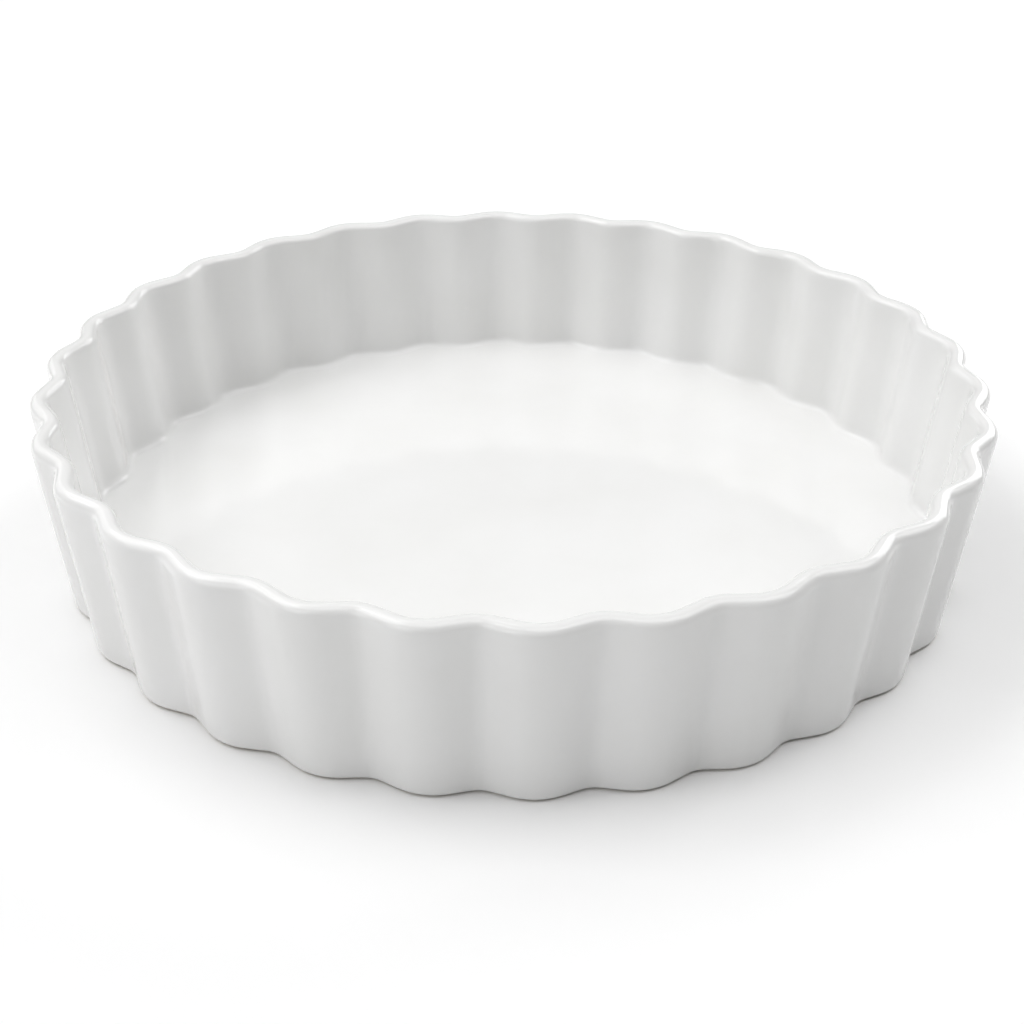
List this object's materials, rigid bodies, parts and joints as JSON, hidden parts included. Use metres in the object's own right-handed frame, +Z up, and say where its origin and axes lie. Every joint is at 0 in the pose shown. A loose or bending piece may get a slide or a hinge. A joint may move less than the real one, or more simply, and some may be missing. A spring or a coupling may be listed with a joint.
{
  "type": "fluted quiche dish",
  "caption": "Round shallow white glazed ceramic baking dish with a fluted, slightly flared wall, a rounded scalloped lip and a bare foot ring.",
  "frame": {"origin": "centre of the foot ring, on the table plane under the dish", "axes": "+Z up, the dish's own axis; one lobe's crest faces -Y, the side that the picture shows nearest, and +X is to that viewer's right"},
  "size_m": [0.278, 0.2792, 0.054],
  "materials": {
    "fired_clay": "matte, fine-grained, bare",
    "white_glaze": "glossy"
  },
  "bodies": {
    "root": {"ceramic_body": "fired_clay", "glaze_coat": "white_glaze", "base_glaze": "white_glaze"}
  },
  "joints": []
}
